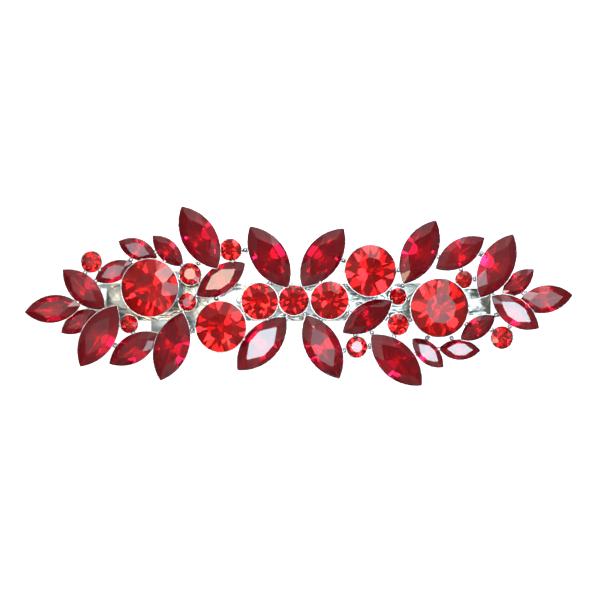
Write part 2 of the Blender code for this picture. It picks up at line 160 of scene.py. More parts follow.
def bake_place(obj: bpy.types.Object) -> None:
    """Apply an object's place, turn and scale to its mesh.

    Args:
        obj: The object.
    """
    activate(obj)
    bpy.ops.object.transform_apply(location=True, rotation=True, scale=True)


def join(pieces: list[bpy.types.Object], name: str) -> bpy.types.Object:
    """Join pieces into the first one and name it.

    Args:
        pieces: The objects to join.
        name: The name of the result.

    Returns:
        The joined object.
    """
    activate(pieces[0])
    for piece in pieces[1:]:
        piece.select_set(True)
    bpy.ops.object.join()
    joined = bpy.context.view_layer.objects.active
    joined.name = joined.data.name = name
    return joined


def copy_of(master: bpy.types.Object, name: str, place: Matrix) -> bpy.types.Object:
    """Copy a master piece with its own mesh, moved to its place.

    Args:
        master: The piece that was modelled once.
        name: The copy's name.
        place: Where the copy goes, with its size.

    Returns:
        The copy, with its place in its mesh.
    """
    mesh = master.data.copy()
    mesh.name = name
    mesh.transform(place)
    obj = bpy.data.objects.new(name, mesh)
    bpy.context.scene.collection.objects.link(obj)
    return obj


# What the frame says about the front.


@dataclass(frozen=True)
class Arch:
    """The arc that the plate and the front follow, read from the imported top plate."""

    radius: float
    crown: float
    END_STRIP: ClassVar[float] = 0.1 * MM

    @classmethod
    def from_frame(cls) -> "Arch":
        """Read the arch from the plate's crown and the top of its free end.

        Returns:
            The arch.
        """
        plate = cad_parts["top_plate"].data.vertices
        low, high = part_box("top_plate")
        end = max(v.co.z for v in plate if v.co.x < low.x + cls.END_STRIP)
        drop = high.z - end
        return cls((low.x * low.x + drop * drop) / (2 * drop), high.z)

    def z(self, x: float, height: float = 0.0) -> float:
        """Height above the ground of a line that follows the plate's upper face.

        Args:
            x: Where along the clip.
            height: How far the line runs above the face.

        Returns:
            The line's height.
        """
        radius = self.radius + height
        return self.crown - self.radius + math.sqrt(radius * radius - x * x)

    def height_of(self, point: Vector) -> float:
        """How far a point stands above the plate's upper face, square to it."""
        return math.hypot(point.x, point.z - self.crown + self.radius) - self.radius

    def normal_at(self, point: Vector) -> Vector:
        """The direction that is square to the arch at a point."""
        return Vector((point.x, 0.0, point.z - self.crown + self.radius)).normalized()


@dataclass(frozen=True)
class Seat:
    """Where one stone sits: read from its plain solid in the frame."""

    node: str
    centre: Vector
    normal: Vector
    along: Vector
    length: float
    width: float
    ROUND_GROWTH: ClassVar[float] = -0.010  # share of the width
    NAVETTE_GROWTH: ClassVar[float] = 0.13 * MM
    ROUND_LIP: ClassVar[float] = 0.2 * MM
    NAVETTE_LIP: ClassVar[float] = 0.09 * MM

    @property
    def is_round(self) -> bool:
        """Whether the stone is round."""
        return self.node.startswith("round")

    @property
    def number(self) -> int:
        """The stone's number in its name."""
        return int(self.node.rsplit("_", 1)[1])

    @property
    def grow(self) -> float:
        """How far the glass stands out from its plain solid's edge: rounds stand a little in."""
        return self.ROUND_GROWTH * self.width if self.is_round else self.NAVETTE_GROWTH

    @property
    def lip(self) -> float:
        """Width of the bright rim outside the glass."""
        return self.ROUND_LIP if self.is_round else self.NAVETTE_LIP

    @classmethod
    def from_frame(cls, node: str, arch: Arch, cut: "Cut") -> "Seat":
        """Read a stone's seat from its solid: its culet, its height and its widest points.

        Args:
            node: The stone's node.
            arch: The arch that the stone stands square to.
            cut: The proportions that the stone is cut to.

        Returns:
            The seat.
        """
        points = [v.co.copy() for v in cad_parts[node].data.vertices]
        culet = min(points, key=arch.height_of)
        normal = arch.normal_at(culet)
        width = (max(p.dot(normal) for p in points) - culet.dot(normal)) / (cut.pavilion + cut.crown)
        centre = culet + normal * cut.pavilion * width
        spread = [(p - centre) - normal * (p - centre).dot(normal) for p in points]
        tip = max(spread, key=lambda p: (round(p.length, 6), p.x))
        along = tip.normalized()
        length = 2 * tip.length
        return cls(node, centre, normal, along, length, width)

    def place(self, turn: float = 0.0, tilt: float = 0.0) -> Matrix:
        """The stone's own frame in the world.

        Args:
            turn: Extra turn about the table's normal, in degrees.
            tilt: Degrees that the stone leans towards +Y.

        Returns:
            A matrix with its origin in the girdle, +X along the stone and +Z out of the table.
        """
        normal = Matrix.Rotation(-math.radians(tilt), 3, "X") @ self.normal
        along = (self.along - normal * self.along.dot(normal)).normalized()
        across = normal.cross(along)
        turned = Matrix((along, across, normal)).transposed() @ Matrix.Rotation(math.radians(turn), 3, "Z")
        return Matrix.Translation(self.centre) @ turned.to_4x4()


# Glass.


@dataclass(frozen=True)
class Tier:
    """One ring of facets that share a slope: their turns, and two heights that set the slope.

    Heights are shares of the stone's width: at the girdle's edge, and where the facets would meet
    over the middle.
    """

    turns: tuple[float, ...]
    edge: float
    peak: float


@dataclass(frozen=True)
class Cut:
    """The proportions of a cut, as shares of the stone's width."""

    crown: float = 0.15
    pavilion: float = 0.36
    girdle: float = 0.012
    blunt: float = 0.012


def ring(count: int, start: float = 0.0) -> tuple[float, ...]:
    """Evenly spaced turns in degrees.

    Args:
        count: How many turns.
        start: The first one.

    Returns:
        The turns.
    """
    return tuple(start + 360.0 * i / count for i in range(count))


def both_sides(*turns: float) -> tuple[float, ...]:
    """Turns about the two long sides of a pointed stone.

    Args:
        turns: Distances in degrees from the middle of a side, each taken both ways.

    Returns:
        The turns.
    """
    spread = [sign * turn for turn in turns for sign in (1, -1) if turn or sign > 0]
    return tuple(side + turn for side in (90.0, 270.0) for turn in spread)


class StoneShape(Enum):
    """The two outlines of stones."""

    ROUND = "round"
    NAVETTE = "navette"


@dataclass
class GemCutter:
    """Grinds one master stone of unit width, facet by facet."""

    shape: StoneShape
    cut: Cut = field(default_factory=Cut)
    ratio: float = 1.0
    tip_growth: float = 1.0
    round_sides: int = 64
    side_step: float = 3.6
    side_steps: int = 15
    foil_below: float = 0.05

    def support(self, turn: float) -> float:
        """Distance from the axis to the outline's tangent that faces a turn.

        Args:
            turn: Direction of the tangent's normal, in degrees.

        Returns:
            The distance, as a share of the width.
        """
        if self.shape is StoneShape.ROUND:
            return 0.5
        half = self.ratio / 2
        radius = half * half + 0.25
        off = math.radians(abs((turn % 180.0) - 90.0))
        if math.sin(off) * radius >= half:
            return half * math.sin(off)
        return radius - (radius - 0.5) * math.cos(off)

    def grind(self, normal: Vector, distance: float) -> None:
        """Grind away everything beyond a plane.

        Args:
            normal: The plane's outward normal.
            distance: The plane's distance from the origin.
        """
        bpy.ops.mesh.select_all(action="SELECT")
        bpy.ops.mesh.bisect(plane_co=normal * distance, plane_no=normal, use_fill=True,
                            clear_outer=True, threshold=1e-6)

    def grind_tier(self, tier: Tier) -> None:
        """Grind one ring of facets.

        Args:
            tier: The ring; the sign of its peak says whether it is on the crown or the pavilion.
        """
        sign = 1.0 if tier.peak > 0 else -1.0
        for turn in tier.turns:
            reach = self.support(turn)
            slope = math.atan2(abs(tier.peak - tier.edge), reach)
            angle = math.radians(turn)
            flat = Vector((math.cos(angle), math.sin(angle), 0.0)) * math.sin(slope)
            normal = flat + UP * sign * math.cos(slope)
            self.grind(normal, flat.length * reach + sign * math.cos(slope) * tier.edge)

    def blank(self, low: float, high: float) -> bpy.types.Object:
        """A blank with the stone's outline, of unit width; a pointed one is ground from a block.

        Args:
            low: Height of its underside.
            high: Height of its top.

        Returns:
            The blank.
        """
        middle = (0.0, 0.0, (low + high) / 2)
        if self.shape is StoneShape.ROUND:
            bpy.ops.mesh.primitive_cylinder_add(
                vertices=self.round_sides, radius=0.5, depth=high - low, location=middle)
            obj = bpy.context.object
            bake_place(obj)
            return obj
        bpy.ops.mesh.primitive_cube_add(size=1.0, location=middle, scale=(self.ratio, 1.0, high - low))
        obj = bpy.context.object
        bake_place(obj)
        with editing(obj):
            for turn in both_sides(*(self.side_step * step for step in range(self.side_steps))):
                angle = math.radians(turn)
                self.grind(Vector((math.cos(angle), math.sin(angle), 0.0)), self.support(turn))
            for way in (1.0, -1.0):
                self.grind(Vector((way, 0.0, 0.0)), self.ratio / 2 - self.cut.blunt)
        return obj

    def tiers(self) -> list[Tier]:
        """List the rings of facets in the order that they are ground.

        Returns:
            The rings.
        """
        edge = self.cut.girdle
        if self.shape is StoneShape.ROUND:
            return [
                Tier(ring(8), edge, 0.285),
                Tier(ring(8, 22.5), edge - 0.004, 0.33),
                Tier(ring(8, 11.0), -edge, -0.42),
            ]
        return [
            Tier(both_sides(0.0, 33.0), edge, 0.33),
            Tier(both_sides(17.0, 46.0), edge - 0.002, 0.37),
            Tier(both_sides(0.0), -edge, -0.405),
            Tier(both_sides(27.0), -edge, -0.43),
            Tier(both_sides(46.0), -edge, -0.40),
        ]

    def make(self) -> bpy.types.Object:
        """Grind the master stone.

        Returns:
            The stone: slot 0 is its glass, slot 1 the foil behind its pavilion.
        """
        obj = self.blank(-self.cut.pavilion, self.cut.crown)
        with editing(obj):
            for tier in self.tiers():
                self.grind_tier(tier)
            bpy.ops.mesh.select_all(action="SELECT")
            bpy.ops.mesh.normals_make_consistent(inside=False)
        for face in obj.data.polygons:
            face.material_index = 1 if face.normal.z < self.foil_below else 0
        return obj

    def scale_to(self, seat: Seat, grow: float) -> Matrix:
        """The scale from the master to one seat's stone.

        Args:
            seat: The stone's seat.
            grow: How far the stone's edge reaches over the gap in its cup.

        Returns:
            The scale.
        """
        long, wide = seat.length + 2 * grow * self.tip_growth, seat.width + 2 * grow
        return Matrix.Diagonal((long / self.ratio, wide, seat.width, 1.0))


# Finishes.


def new_material(name: str) -> tuple[bpy.types.Material, bpy.types.ShaderNode]:
    """Start a new material.

    Args:
        name: The material's name.

    Returns:
        The material and its Principled shader.
    """
    material = bpy.data.materials.new(name)
    material.use_nodes = True
    return material, material.node_tree.nodes["Principled BSDF"]


def plating_group() -> bpy.types.NodeTree:
    """The worn, uneven surface of plated metal, as one group that every metal shares.

    Returns:
        A group with the values Scale, Smooth, Dull and Ripple, which puts out Roughness, Shade and Height.
    """
    group = bpy.data.node_groups.new("plating", "ShaderNodeTree")
    for name, start in (("Scale", 900.0), ("Smooth", 0.12), ("Dull", 0.3), ("Ripple", 0.0)):
        socket = group.interface.new_socket(name, in_out="INPUT", socket_type="NodeSocketFloat")
        socket.default_value = start
    for name in ("Roughness", "Shade", "Height"):
        group.interface.new_socket(name, in_out="OUTPUT", socket_type="NodeSocketFloat")
    nodes, links = group.nodes, group.links
    given, made = nodes.new("NodeGroupInput"), nodes.new("NodeGroupOutput")
    place = nodes.new("ShaderNodeTexCoord")
    grain = nodes.new("ShaderNodeTexNoise")
    grain.inputs["Detail"].default_value = 4.0
    patches = nodes.new("ShaderNodeTexNoise")
    patches.inputs["Scale"].default_value = PATCH_SCALE
    patches.inputs["Detail"].default_value = 2.0
    links.new(place.outputs["Object"], grain.inputs["Vector"])
    links.new(place.outputs["Object"], patches.inputs["Vector"])
    links.new(given.outputs["Scale"], grain.inputs["Scale"])
    dulled = nodes.new("ShaderNodeMapRange")
    dulled.inputs["From Min"].default_value = 0.35
    dulled.inputs["From Max"].default_value = 0.7
    links.new(patches.outputs["Fac"], dulled.inputs["Value"])
    links.new(given.outputs["Smooth"], dulled.inputs["To Min"])
    links.new(given.outputs["Dull"], dulled.inputs["To Max"])
    shade = nodes.new("ShaderNodeMapRange")
    shade.inputs["To Min"].default_value = 0.82
    shade.inputs["To Max"].default_value = 1.05
    links.new(grain.outputs["Fac"], shade.inputs["Value"])
    stretch = nodes.new("ShaderNodeMapping")
    stretch.inputs["Scale"].default_value = (0.45, 1.0, 1.0)
    ripple = nodes.new("ShaderNodeTexNoise")
    ripple.inputs["Scale"].default_value = RIPPLE_SCALE
    ripple.inputs["Detail"].default_value = 3.0
    ripple.inputs["Distortion"].default_value = 1.2
    height = nodes.new("ShaderNodeMix")
    links.new(place.outputs["Object"], stretch.inputs["Vector"])
    links.new(stretch.outputs["Vector"], ripple.inputs["Vector"])
    links.new(given.outputs["Ripple"], height.inputs["Factor"])
    links.new(grain.outputs["Fac"], height.inputs["A"])
    links.new(ripple.outputs["Fac"], height.inputs["B"])
    links.new(dulled.outputs["Result"], made.inputs["Roughness"])
    links.new(shade.outputs["Result"], made.inputs["Shade"])
    links.new(height.outputs["Result"], made.inputs["Height"])
    return group


@dataclass(frozen=True)
class Metal:
    """A plated metal with cast or rolled grain."""

    name: str
    color: tuple[float, float, float]
    shadow: tuple[float, float, float]
    smooth: float
    dull: float
    grain_scale: float
    depth: float
    ripple: float = 0.0

    def material(self, plating: bpy.types.NodeTree) -> bpy.types.Material:
        """Build the metal's material.

        Args:
            plating: The group for plated metal.

        Returns:
            The material.
        """
        material, shader = new_material(self.name)
        nodes, links = material.node_tree.nodes, material.node_tree.links
        surface = nodes.new("ShaderNodeGroup")
        surface.node_tree = plating
        surface.inputs["Scale"].default_value = self.grain_scale
        surface.inputs["Smooth"].default_value = self.smooth
        surface.inputs["Dull"].default_value = self.dull
        surface.inputs["Ripple"].default_value = self.ripple
        tone = nodes.new("ShaderNodeMix")
        tone.data_type = "RGBA"
        tone.inputs["A"].default_value = (*self.shadow, 1.0)
        tone.inputs["B"].default_value = (*self.color, 1.0)
        bump = nodes.new("ShaderNodeBump")
        bump.inputs["Distance"].default_value = self.depth
        links.new(surface.outputs["Shade"], tone.inputs["Factor"])
        links.new(tone.outputs["Result"], shader.inputs["Base Color"])
        links.new(surface.outputs["Roughness"], shader.inputs["Roughness"])
        links.new(surface.outputs["Height"], bump.inputs["Height"])
        links.new(bump.outputs["Normal"], shader.inputs["Normal"])
        shader.inputs["Metallic"].default_value = 1.0
        return material


@dataclass(frozen=True)
class Glass:
    """A foil-backed coloured glass, whose colour drifts a little from stone to stone."""

    name: str
    color: tuple[float, float, float]
    deep: tuple[float, float, float]
    foil: tuple[float, float, float]
    clarity: float
    ior: float = 1.56
    cloud_scale: float = 110.0
    haze_scale: float = 700.0
    haze_most: float = 0.012
    foil_roughness: float = 0.05
    foil_cloud_scale: float = 420.0
    foil_dimming: float = 0.8

    def materials(self) -> tuple[bpy.types.Material, bpy.types.Material]:
        """Build the clear glass and the foil behind it.

        Returns:
            The glass and the foil.
        """
        glass, shader = new_material(f"{self.name}_glass")
        shader.inputs["Metallic"].default_value = 0.0
        shader.inputs["Transmission Weight"].default_value = self.clarity
        shader.inputs["IOR"].default_value = self.ior
        self.drift(glass, shader, self.color, self.deep, self.cloud_scale)
        self.polish(glass, shader)
        foil, shader = new_material(f"{self.name}_foil")
        shader.inputs["Metallic"].default_value = 1.0
        shader.inputs["Roughness"].default_value = self.foil_roughness
        dim = tuple(self.foil_dimming * value for value in self.foil)
        self.drift(foil, shader, self.foil, dim, self.foil_cloud_scale)
        return glass, foil

    def drift(self, material: bpy.types.Material, shader: bpy.types.ShaderNode,
              light: tuple[float, float, float], dark: tuple[float, float, float], scale: float) -> None:
        """Let a material's colour drift between two tones.

        Args:
            material: The material.
            shader: Its Principled shader.
            light: The lighter tone.
            dark: The darker tone.
            scale: Scale of the drift, in cycles a metre.
        """
        nodes, links = material.node_tree.nodes, material.node_tree.links
        place = nodes.new("ShaderNodeTexCoord")
        cloud = nodes.new("ShaderNodeTexNoise")
        cloud.inputs["Scale"].default_value = scale
        cloud.inputs["Detail"].default_value = 1.0
        tones = nodes.new("ShaderNodeValToRGB")
        tones.color_ramp.elements[0].position = 0.35
        tones.color_ramp.elements[0].color = (*dark, 1.0)
        tones.color_ramp.elements[1].position = 0.65
        tones.color_ramp.elements[1].color = (*light, 1.0)
        links.new(place.outputs["Object"], cloud.inputs["Vector"])
        links.new(cloud.outputs["Fac"], tones.inputs["Fac"])
        links.new(tones.outputs["Color"], shader.inputs["Base Color"])

    def polish(self, material: bpy.types.Material, shader: bpy.types.ShaderNode) -> None:
        """Leave faint polishing haze on the glass.

        Args:
            material: The material.
            shader: Its Principled shader.
        """
        nodes, links = material.node_tree.nodes, material.node_tree.links
        place = nodes.new("ShaderNodeTexCoord")
        haze = nodes.new("ShaderNodeTexNoise")
        haze.inputs["Scale"].default_value = self.haze_scale
        haze.inputs["Detail"].default_value = 3.0
        amount = nodes.new("ShaderNodeMapRange")
        amount.inputs["From Min"].default_value = 0.5
        amount.inputs["From Max"].default_value = 0.8
        amount.inputs["To Min"].default_value = 0.0
        amount.inputs["To Max"].default_value = self.haze_most
        links.new(place.outputs["Object"], haze.inputs["Vector"])
        links.new(haze.outputs["Fac"], amount.inputs["Value"])
        links.new(amount.outputs["Result"], shader.inputs["Roughness"])


SCARLET = Glass("scarlet", (0.92, 0.012, 0.010), (0.84, 0.006, 0.008), (0.95, 0.76, 0.70), clarity=0.91)
CRIMSON = Glass("crimson", (0.93, 0.005, 0.040), (0.78, 0.003, 0.030), (0.96, 0.60, 0.70), clarity=0.92)
METALS = (
    Metal("bright_casting", (0.48, 0.49, 0.50), (0.20, 0.21, 0.22), smooth=0.08, dull=0.18,
          grain_scale=1400.0, depth=0.04 * MM),
    Metal("crinkled_nickel", (0.46, 0.46, 0.41), (0.25, 0.25, 0.22), smooth=0.22, dull=0.36,
          grain_scale=900.0, depth=0.6 * MM, ripple=0.85),
    Metal("nickel_sheet", (0.54, 0.56, 0.54), (0.34, 0.36, 0.34), smooth=0.2, dull=0.34,
          grain_scale=900.0, depth=0.05 * MM, ripple=0.4),
    Metal("spring_steel", (0.64, 0.65, 0.66), (0.40, 0.41, 0.42), smooth=0.22, dull=0.36,
          grain_scale=1200.0, depth=0.02 * MM),
    Metal("solder", (0.66, 0.67, 0.66), (0.40, 0.41, 0.41), smooth=0.30, dull=0.45,
          grain_scale=1500.0, depth=0.1 * MM),
)


# The front: stones and their casting.


@dataclass
class Stones:
    """All the glass stones, each ground from one of two masters."""

    seats: list[Seat]
    cutters: dict[bool, GemCutter]
    turn_step: float = 41.0
    tilts: dict[str, float] = field(default_factory=lambda: {
        "navette_12": 3.2, "navette_13": 3.2, "navette_21": 3.2, "navette_24": 3.2, "navette_25": 3.2,
        "round_09": 3.2, "round_16": 3.2, "round_02": -2.6,
        "navette_05": -3.2, "navette_06": -3.2, "navette_15": -3.2, "navette_20": -3.2, "round_10": -3.2,
    })

    def build(self, scarlet: Glass, crimson: Glass) -> list[bpy.types.Object]:
        """Grind the masters and set a copy in every seat.

        Args:
            scarlet: The round stones' glass.
            crimson: The pointed stones' glass.

        Returns:
            The stones.
        """
        looks = {True: scarlet.materials(), False: crimson.materials()}
        masters = {kind: cutter.make() for kind, cutter in self.cutters.items()}
        stones = []
        for seat in self.seats:
            kind = seat.is_round
            turn = seat.number * self.turn_step if kind else 0.0
            place = seat.place(turn, self.tilts.get(seat.node, 0.0))
            size = self.cutters[kind].scale_to(seat, seat.grow)
            stone = copy_of(masters[kind], f"stone_{seat.node}", place @ size)
            dress(stone, *looks[kind])
            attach(stone, "front")
            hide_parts(seat.node)
            stones.append(stone)
        for master in masters.values():
            bpy.data.objects.remove(master)
        return stones


@dataclass
class Casting:
    """The cast front: a thin-rimmed cup for every stone, joined by webs with small round nubs."""

    seats: list[Seat]
    arch: Arch
    cutters: dict[bool, GemCutter]
    rim_rise: float = 0.05 * MM
    wall_share: float = 0.03
    funnel_share: float = 0.4
    funnel_end: float = 0.04
    foot: float = 0.42
    cup_edge: float = 0.04 * MM
    outline_steps: int = 48
    lift: float = 0.4 * MM
    web_reach: float = 1.3 * MM
    web_width: float = 0.75 * MM
    web_root: float = 0.9 * MM
    web_drop: float = 0.3 * MM
    web_edge: float = 0.12 * MM
    nub_radius: float = 0.48 * MM
    nub_drop: float = 0.2 * MM

    def cup(self, seat: Seat, blank: bpy.types.Object) -> bpy.types.Object:
        """Shape one cup from a blank with the stone's outline.

        Args:
            seat: The stone's seat.
            blank: A blank of unit width, from z = 0 to z = 1.

        Returns:
            The cup.
        """
        depth = self.arch.height_of(seat.centre) - self.lift
        outer = self.cutters[seat.is_round].scale_to(seat, seat.grow + seat.lip)
        outer[2][2] = depth + self.rim_rise
        cup = copy_of(blank, f"cup_{seat.node}", Matrix.Translation((0.0, 0.0, -depth)) @ outer)
        with editing(cup):
            pick_faces(cup, lambda face: face.normal.z < -FACING)
            bpy.ops.transform.resize(value=(self.foot, self.foot, 1.0), center_override=(0.0, 0.0, 0.0))
            pick_faces(cup, lambda face: face.normal.z > FACING)
            bpy.ops.mesh.inset(thickness=seat.lip, depth=0.0)
            wall = self.rim_rise + self.wall_share * seat.width
            bpy.ops.mesh.extrude_region_move(TRANSFORM_OT_translate={"value": (0.0, 0.0, -wall)})
            funnel = self.funnel_share * seat.width
            bpy.ops.mesh.extrude_region_move(TRANSFORM_OT_translate={"value": (0.0, 0.0, -funnel)})
            narrow = (self.funnel_end, self.funnel_end, 1.0)
            bpy.ops.transform.resize(value=narrow, center_override=(0.0, 0.0, 0.0))
        round_edges(cup, self.cup_edge, segments=2, angle=40.0)
        cup.data.transform(seat.place())
        return cup

    def outline(self, seat: Seat) -> list[Vector]:
        """Points along a stone's edge, seen from above.

        Args:
            seat: The stone's seat.

        Returns:
            The points, flat.
        """
        ratio = self.cutters[seat.is_round].ratio
        half = ratio / 2
        radius = half * half + 0.25
        points = []
        for step in range(self.outline_steps):
            angle = math.tau * step / self.outline_steps
            x = half * math.cos(angle)
            y = 0.5 * math.sin(angle)
            if not seat.is_round:
                y = math.copysign(math.sqrt(radius * radius - x * x) - radius + 0.5, y)
            world = seat.place() @ Vector((x * seat.length / ratio, y * seat.width, 0.0))
            points.append(Vector((world.x, world.y)))
        return points

    def web(self, one: Seat, other: Seat, start: Vector, end: Vector) -> list[bpy.types.Object]:
        """A web between two cups, with a nub where they come closest.

        Args:
            one: The first seat.
            other: The second seat.
            start: The nearest point of the first stone's edge, from above.
            end: The nearest point of the second stone's edge, from above.

        Returns:
            The web and its nub.
        """
        middle = (start + end) / 2
        first = start + (Vector((one.centre.x, one.centre.y)) - start).normalized() * self.web_root
        last = end + (Vector((other.centre.x, other.centre.y)) - end).normalized() * self.web_root
        run = last - first
        heights = [self.arch.height_of(seat.centre) for seat in (one, other)]
        low, high = self.lift, min(heights) - self.web_drop
        centre = (first + last) / 2
        slope = math.atan2(self.arch.z(last.x) - self.arch.z(first.x), run.length)
        place = Matrix.Translation((centre.x, centre.y, self.arch.z(centre.x, (low + high) / 2)))
        place @= Matrix.Rotation(math.atan2(run.y, run.x), 4, "Z") @ Matrix.Rotation(-slope, 4, "Y")
        bpy.ops.mesh.primitive_cube_add(size=1.0)
        bar = bpy.context.object
        bar.data.transform(place @ Matrix.Diagonal((run.length, self.web_width, high - low, 1.0)))
        round_edges(bar, self.web_edge, segments=2)
        bpy.ops.mesh.primitive_ico_sphere_add(subdivisions=3, radius=self.nub_radius)
        nub = bpy.context.object
        level = self.arch.z(middle.x, min(heights) - self.nub_drop)
        nub.data.transform(Matrix.Translation((middle.x, middle.y, level)))
        return [bar, nub]

    def build(self, finish: bpy.types.Material) -> bpy.types.Object:
        """Shape every cup and web and join them into the casting.

        Args:
            finish: The casting's metal.

        Returns:
            The casting.
        """
        blanks = {kind: cutter.blank(0.0, 1.0) for kind, cutter in self.cutters.items()}
        parts = [self.cup(seat, blanks[seat.is_round]) for seat in self.seats]
        edges = {seat.node: self.outline(seat) for seat in self.seats}
        for index, one in enumerate(self.seats):
            for other in self.seats[index + 1:]:
                apart = (one.centre - other.centre).length - (one.length + other.length) / 2
                if apart > self.web_reach:
                    continue
                gap, start, end = min(
                    ((p - q).length, tuple(p), tuple(q)) for p in edges[one.node] for q in edges[other.node]
                )
                if gap <= self.web_reach:
                    parts += self.web(one, other, Vector(start), Vector(end))
        for blank in blanks.values():
            bpy.data.objects.remove(blank)
        casting = join(parts, "cast_front")
        dress(casting, finish)
        smooth(casting, 30.0)
        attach(casting, "front")
        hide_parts("front_casting")
        return casting


# The clip.


@dataclass(frozen=True)
class ClipPiece:
    """One piece of the clip, finished from its plain solid."""

    node: str
    name: str
    body: str
    slot: str
    finish: str
    edge: float


@dataclass
class Clip:
    """The French clip behind the front, with its sheared edges broken and its surfaces smooth."""

    merge: float = 0.001 * MM
    flat_angle: float = 0.6
    edge_angle: float = 32.0
    pieces: tuple[ClipPiece, ...] = (
        ClipPiece("top_plate", "clip_top_plate", "front", "nickel_sheet", "crinkled_nickel", 0.12 * MM),
        ClipPiece("clasp_arm", "clip_arm", "arm", "nickel_sheet", "nickel_sheet", 0.14 * MM),
        ClipPiece("tension_bow", "clip_bow", "bow", "spring_steel", "spring_steel", 0.09 * MM),
        ClipPiece("hinge_pin", "clip_pin", "front", "spring_steel", "spring_steel", 0.05 * MM),
        ClipPiece("latch_base", "clip_latch_base", "front", "nickel_sheet", "nickel_sheet", 0.08 * MM),
        ClipPiece("latch_rivet", "clip_rivet", "front", "nickel_sheet", "nickel_sheet", 0.06 * MM),
        ClipPiece("latch_jaw_front", "clip_jaw_front", "jaw_front", "nickel_sheet", "nickel_sheet", 0.1 * MM),
        ClipPiece("latch_jaw_back", "clip_jaw_back", "jaw_back", "nickel_sheet", "nickel_sheet", 0.1 * MM),
        ClipPiece("solder_pad_left", "solder_left", "front", "solder", "solder", 0.08 * MM),
        ClipPiece("solder_pad_middle", "solder_middle", "front", "solder", "solder", 0.08 * MM),
        ClipPiece("solder_pad_right", "solder_right", "front", "solder", "solder", 0.08 * MM),
    )

    def finish(self, piece: ClipPiece, material: bpy.types.Material) -> bpy.types.Object:
        """Break a piece's edges and dress it.

        Args:
            piece: The piece.
            material: Its metal.

        Returns:
            The finished piece.
        """
        obj = copy_of(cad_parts[piece.node], piece.name, Matrix.Identity(4))
        with editing(obj):
            bpy.ops.mesh.select_all(action="SELECT")
            bpy.ops.mesh.remove_doubles(threshold=self.merge)
            bpy.ops.mesh.dissolve_limited(angle_limit=math.radians(self.flat_angle))
        round_edges(obj, piece.edge, segments=3, angle=self.edge_angle)
        smooth(obj, self.edge_angle)
        dress(obj, material)
        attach(obj, piece.body)
        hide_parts(piece.node)
        return obj

    def build(self, metals: dict[str, bpy.types.Material]) -> None:
        """Finish every piece.

        Args:
            metals: The metals, by their names.
        """
        for piece in self.pieces:
            obj = self.finish(piece, metals[piece.finish])
            log.info("%s: %d faces", obj.name, len(obj.data.polygons))


# Studio.


@dataclass
class Softbox:
    """A rectangular soft light, placed by the directions that it is seen in from the barrette."""

    name: str
    azimuth: float
    elevation: float
    distance: float
    size: tuple[float, float]
    radiance: float
    color: tuple[float, float, float] = (1.0, 1.0, 1.0)

    def build(self, target: Vector) -> None:
        """Hang the light.

        Args:
            target: The point that it faces.
        """
        light = bpy.data.lights.new(self.name, "AREA")
        light.shape = "RECTANGLE"
        light.size, light.size_y = self.size
        light.energy = self.radiance * math.pi * self.size[0] * self.size[1]
        light.color = self.color
        obj = bpy.data.objects.new(self.name, light)
        bpy.context.scene.collection.objects.link(obj)
        azimuth, elevation = math.radians(self.azimuth), math.radians(self.elevation)
        level = Vector((math.cos(azimuth), math.sin(azimuth), 0.0))
        away = level * math.cos(elevation) + UP * math.sin(elevation)
        obj.location = target + away * self.distance
        obj.rotation_euler = away.to_track_quat("Z", "Y").to_euler()


@dataclass
class Strip:
    """A narrow light nearly overhead, given by the leans in degrees between which it is seen."""

    name: str
    x_range: tuple[float, float]
    y_range: tuple[float, float]
    radiance: float
    color: tuple[float, float, float] = (1.0, 1.0, 1.0)
    height: float = 0.7

    def build(self, target: Vector) -> None:
        """Hang the strip flat over the target, facing down.

        Args:
            target: The point that it is measured from.
        """
        left, right = (self.height * math.tan(math.radians(lean)) for lean in self.x_range)
        near, far = (self.height * math.tan(math.radians(lean)) for lean in self.y_range)
        light = bpy.data.lights.new(self.name, "AREA")
        light.shape = "RECTANGLE"
        light.size, light.size_y = right - left, far - near
        light.energy = self.radiance * math.pi * (right - left) * (far - near)
        light.color = self.color
        obj = bpy.data.objects.new(self.name, light)
        bpy.context.scene.collection.objects.link(obj)
        obj.location = target + Vector(((left + right) / 2, (near + far) / 2, self.height))


